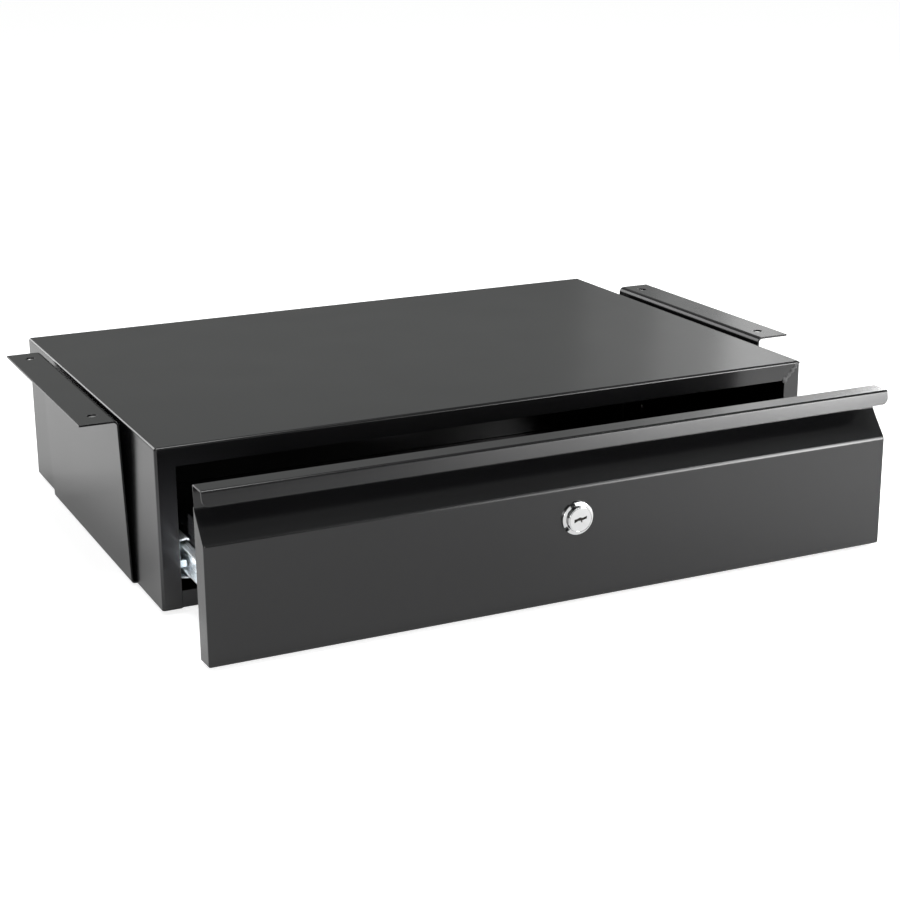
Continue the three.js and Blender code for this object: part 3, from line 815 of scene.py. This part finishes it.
def from_axis(p):
    return (p.xz - lock_axis.xz).length


def choose_end(y):
    """Selects the round end face that lies at this y."""
    choose("FACE", lambda p, n: at(p.y, y) and abs(n.y) > 0.9 and from_axis(p) < MM)


def pull_end(by):
    """Pulls the selected face out along the lock's axis."""
    bpy.ops.mesh.extrude_region_move(TRANSFORM_OT_translate={"value": (0, by, 0)})


bezel_y = lock_low.y + bezel_set_back
rim_y = bezel_y + bezel_cone
flange_y = lock_low.y + bezel_depth
housing = turned_disc(bezel_size, rim_y, flange_y)
choose_end(rim_y)
bpy.ops.mesh.inset(thickness=(bezel_size - seat_size) / 2)
bpy.ops.transform.translate(value=(0, -bezel_cone, 0))
pull_end(seat_depth)
bpy.ops.mesh.inset(thickness=(seat_size - bore_size) / 2)
pull_end(lock_high.y - bezel_y - seat_depth - NEAR)
choose_end(flange_y)
bpy.ops.mesh.inset(thickness=(bezel_size - barrel_size) / 2)
pull_end(lock_high.y - flange_y)
choose("EDGE", lambda p, d: at(p.y, rim_y) and from_axis(p) > seat_size / 2)
bpy.ops.mesh.bevel(offset=bezel_round, segments=4, affect="EDGES")
for angle in notch_angles:
    cutter = open_block(
        (seat_size / 2 - seat_gap / 2, lock_low.y - MM, -notch_width / 2),
        (bezel_size, flange_y + seat_gap, notch_width / 2),
    )
    object_mode()
    cutter.data.transform(
        Matrix.Translation((lock_axis.x, 0, lock_axis.z))
        @ Matrix.Rotation(-math.radians(angle), 4, "Y")
    )
    cut_away(housing, cutter)
hand_over(housing, "lock_bezel", "drawer", "chrome", chrome, "lock_housing", smooth=30)

# ------------------------------------------------------------------ lock plug
# The part that the key turns: a chromed disc in front of the bezel with a zigzag key slot,
# and a core through the barrel to the cam.
plug_edge = 0.3 * MM
ring_inset = 0.55 * MM
ring_width = 0.35 * MM
ring_depth = 0.6 * MM
plug_core = 12.2 * MM
tail_length = 3 * MM
tail_half = 3 * MM
tail_overlap = 0.7 * MM
slot_length = 9.5 * MM
slot_width = 3.6 * MM
slot_depth = 5 * MM
wafer_depth = 0.5 * MM
# The slot's outline, as shares of its length and width from the lock's axis
slot_shares = (
    (-0.5, -0.5), (-0.18, -0.15), (0.02, -0.15), (0.02, -0.5), (0.14, -0.5), (0.14, -0.15),
    (0.5, 0.1), (0.5, 0.6), (0.18, 0.35), (-0.06, 0.5), (-0.3, 0.25), (-0.5, 0.2),
)
plug_back = bezel_y + seat_depth - seat_gap / 2
plug = turned_disc(plug_size, plug_low.y, plug_back)
choose_end(plug_back)
bpy.ops.mesh.inset(thickness=(plug_size - plug_core) / 2)
pull_end(plug_high.y - tail_length + tail_overlap - plug_back)
choose("EDGE", lambda p, d: at(p.y, plug_low.y) and from_axis(p) > plug_core / 2)
bpy.ops.mesh.bevel(offset=plug_edge, segments=4, affect="EDGES")
choose_end(plug_low.y)
bpy.ops.mesh.inset(thickness=ring_inset - plug_edge)
bpy.ops.mesh.inset(thickness=ring_width)
ring_middle = plug_size / 2 - ring_inset - ring_width / 2
choose("FACE", lambda p, n: (
    at(p.y, plug_low.y) and abs(from_axis(p) - ring_middle) < ring_width / 4
))
pull_end(ring_depth)
slot_points = [
    Vector((lock_axis.x + u * slot_length, plug_low.y - MM, lock_axis.z + v * slot_width))
    for u, v in slot_shares
]
drawn_line(slot_points)
bpy.ops.mesh.edge_face_add()
bpy.ops.mesh.extrude_region_move(TRANSFORM_OT_translate={"value": (0, slot_depth + MM, 0)})
bpy.ops.mesh.select_all(action="SELECT")
bpy.ops.mesh.normals_make_consistent(inside=False)
keyway = bpy.context.object
take_up(keyway)
bpy.ops.object.duplicate()
wafers = bpy.context.object
cut_away(plug, keyway)
tail = open_block(
    (lock_axis.x - tail_half, plug_high.y - tail_length, lock_axis.z - tail_half),
    (lock_axis.x + tail_half, plug_high.y, lock_axis.z + tail_half),
)
take_up(plug)
tail.select_set(True)
bpy.ops.object.join()
hand_over(plug, "key_plug", "lock_core", "chrome", chrome, "lock_plug", smooth=30)

# ------------------------------------------------------------------ keyway wafers, in painted shade
# The stack of flat wafers that fills the slot just below the plug's face, coloured near black
# as painted shade for the deep keyway.
# Painted shade: the wafers are real, but their metal is coloured near black as the deep keyway
# looks, with a trace of dark brass
keyway_shade_black = (0.008, 0.008, 0.008, 1)
keyway_shade_brass = (0.05, 0.045, 0.04, 1)
leaf_depth = 0.1 * MM

keyway_shade_finish, shader, place = finish_named("keyway_shade_finish")
set_shader(shader, Metallic=1.0)
keyway_shade_patches = place.grain(0.5 * MM, detail=3.0)
leaves = place.grain(0.7 * MM, detail=1.0, stretch=(1, 1, 0.1))
feed_shader(
    shader,
    Base_Color=keyway_shade_patches.tint(keyway_shade_black, keyway_shade_brass),
    Roughness=0.45 + 0.2 * keyway_shade_patches,
    Normal=relief(leaves, leaf_depth),
)
take_up(wafers)
bpy.ops.object.mode_set(mode="EDIT")
choose("FACE", lambda p, n: n.y < -0.9)
bpy.ops.transform.translate(value=(0, MM + wafer_depth, 0))
hand_over(wafers, "keyway_shade_wafers", "lock_core", "steel", keyway_shade_finish)

# ------------------------------------------------------------------ lock nut and cam
# Plain bright steel: the nut behind the front, and the long cam that turns up behind the
# cabinet's face frame.
dull_steel = (0.52, 0.53, 0.54, 1)
bright_steel = (0.62, 0.62, 0.62, 1)
brushed_depth = 0.004 * MM
cam_screw = {"size": 4 * MM, "head": 10 * MM, "head_height": 2.2 * MM, "shank": 8 * MM}

steel, shader, place = finish_named("steel")
set_shader(shader, Metallic=1.0)
brushed = place.grain(0.3 * MM, detail=3.0, stretch=(0.05, 1, 1))
stain = place.grain(8 * MM, detail=3.0)
feed_shader(
    shader,
    Base_Color=stain.tint(dull_steel, bright_steel),
    Roughness=0.28 + 0.12 * brushed + 0.08 * stain,
    Normal=relief(brushed, brushed_depth),
)
refinish(steel, "lock_nut", "lock_cam")
set_screws(
    turned_screw(**cam_screw), (0, 1, 0), "lock_core", steel, "steel", ["lock_cam_screw"],
)

# ------------------------------------------------------------------ studio
# A white floor that keeps a soft shadow, a dim room, and soft boxes beside the safe.
floor_size = 60
floor_grey = (0.7, 0.7, 0.7, 1)
white = (1, 1, 1, 1)
floor_seen = 0.8
floor_mirrored = 0.41
# How deep, how far out and how far forward the painted shadow in the floor's reflection reaches
foot_shadow_depth = 0.45
foot_shadow_reach = (0.01, 0.09)
foot_shadow_front = 0.03

take_up()
bpy.ops.mesh.primitive_plane_add(size=floor_size, location=(0, 0, 0))
floor = bpy.context.object
floor.name = "floor"
floor_paint, shader, place = finish_named("floor_paint")
set_shader(shader, Base_Color=floor_grey, Roughness=0.9, Emission_Color=white)
rays = place.node("ShaderNodeLightPath", {}, {}).socket.node.outputs
camera_ray, glossy_ray, clear_ray = (
    Feed(place.tree, rays[f"Is {kind} Ray"]) for kind in ("Camera", "Glossy", "Transmission")
)
# Beside the cabinet's foot the floor's reflection is dimmed: a painted shadow that only mirror
# rays see
floor_x, floor_y = (
    place.node("ShaderNodeSeparateXYZ", {}, {"Vector": place}, output=i) for i in (0, 1)
)
sideways = floor_x.node("ShaderNodeMath", {"operation": "ABSOLUTE"}, {0: floor_x})
foot_shadow_mask = (
    sideways.between(wrap_high.x + foot_shadow_reach[1], wrap_high.x + foot_shadow_reach[0])
    * floor_y.between(wrap_low.y - foot_shadow_front, wrap_low.y)
)
mirrored = floor_mirrored * (1 - foot_shadow_depth * foot_shadow_mask) * (glossy_ray + clear_ray)
feed_shader(shader, Emission_Strength=floor_seen * camera_ray + mirrored)
floor.data.materials.append(floor_paint)

# The camera sees the room as white. It lights the safe from about 10 degrees up, and more
# from the sides than from overhead.
room_colour = (0.98, 1.0, 0.985, 1)
middle_light = 0.37
overhead_drop = 0.14
middle_from = (0.14, 0.2)
overhead_from = (0.45, 0.55)

world = bpy.data.worlds.new("room")
bpy.context.scene.world = world
world.use_nodes = True
room = world.node_tree.nodes["Background"]
room.inputs["Color"].default_value = room_colour
looking = world.node_tree.nodes.new("ShaderNodeTexCoord").outputs["Generated"]
looking = Feed(world.node_tree, looking)
height = looking.node("ShaderNodeSeparateXYZ", {}, {"Vector": looking}, output=2)
room_light = (
    middle_light * height.between(*middle_from) - overhead_drop * height.between(*overhead_from)
)
seen = looking.node("ShaderNodeLightPath", {}, {})
shown = seen + (1 - seen) * room_light
world.node_tree.links.new(shown.socket, room.inputs["Strength"])


def soft_box(name, bearing, height, distance, width, tall, glow):
    """A lamp facing the safe, as bright to look at as its glow.

    The bearing is in degrees, from the rear toward the right.
    """
    lamp = bpy.data.lights.new(name, "AREA")
    lamp.shape = "RECTANGLE"
    lamp.size, lamp.size_y = width, tall
    lamp.energy = math.pi * width * tall * glow
    box = bpy.data.objects.new(name, lamp)
    bpy.context.scene.collection.objects.link(box)
    turn = math.radians(bearing)
    box.location = (distance * math.sin(turn), distance * math.cos(turn), height)
    box.rotation_euler = (-box.location).to_track_quat("-Z", "Y").to_euler()


# A graded bank behind the safe to the right, which its top mirrors
for bearing, width, glow in (
    (34.0, 0.13, 0.13), (37.5, 0.13, 0.37), (41.0, 0.13, 1.2),
    (45.2, 0.19, 1.05), (51.2, 0.27, 10.8), (60.2, 0.42, 5),
):
    soft_box(
        f"rear_right_{bearing:.0f}", bearing, height=0.9, distance=2.2, width=width, tall=1.0,
        glow=glow,
    )
# Two rows in front to the right, for the folds of the front
for bearing, low_glow, high_glow in ((142, 20, 12), (149, 11.2, 2.4), (156, 4.1, 0)):
    for row, height, glow in (("", 0.32, low_glow), ("_high", 0.92, high_glow)):
        if glow:
            soft_box(
                f"front_right_{bearing}{row}", bearing, height=height, distance=2.4,
                width=0.30, tall=0.6, glow=glow,
            )
soft_box("rear_left", -26, height=0.8, distance=2.2, width=1.2, tall=1.3, glow=3)
soft_box("front_left", 207, height=0.3, distance=2.0, width=0.4, tall=0.4, glow=12)
soft_box("overhead", 180, height=2.6, distance=0.3, width=1.2, tall=1.2, glow=8)

# A pool on the floor that the front mirrors, and a narrow beam on the left slide
for name, power, spread, softness, stand, aim in (
    ("floor_pool", 172, 30, 0.3, (0.75, -0.6, 1.0), (0.5, -0.36, 0)),
    ("snoot", 240, 5, 0.03, (-0.9, -0.85, 0.15), (-0.26, -0.15, 0.06)),
):
    lamp = bpy.data.lights.new(name, "SPOT")
    lamp.energy, lamp.spot_size = power, math.radians(spread)
    lamp.spot_blend, lamp.shadow_soft_size = 1.0, softness
    spot = bpy.data.objects.new(name, lamp)
    bpy.context.scene.collection.objects.link(spot)
    spot.location = stand
    spot.rotation_euler = (Vector(aim) - spot.location).to_track_quat("-Z", "Y").to_euler()

# ------------------------------------------------------------------ camera
# Set by the photograph's own corners: a long lens from the front left, looking down.
camera_place = Vector((-0.5803, -1.2563, 0.4724))
camera_azimuth = math.radians(-25.353)
camera_elevation = math.radians(17.013)
camera_roll = math.radians(-0.462)
focal_pixels = 1871.6
picture_pixels = 900
film_width = 36
back = Vector((
    math.sin(camera_azimuth) * math.cos(camera_elevation),
    -math.cos(camera_azimuth) * math.cos(camera_elevation),
    math.sin(camera_elevation),
))
right = (-back).cross(Vector((0, 0, 1))).normalized()
up = right.cross(-back)
across = right * math.cos(camera_roll) + up * math.sin(camera_roll)
upward = up * math.cos(camera_roll) - right * math.sin(camera_roll)
camera = bpy.data.objects.new("camera", bpy.data.cameras.new("camera"))
bpy.context.scene.collection.objects.link(camera)
camera.data.sensor_width = film_width
camera.data.lens = focal_pixels * film_width / picture_pixels
axes = Matrix((across, upward, back)).transposed().to_4x4()
camera.matrix_world = Matrix.Translation(camera_place) @ axes
bpy.context.scene.camera = camera
bpy.context.scene.view_settings.view_transform = "Standard"
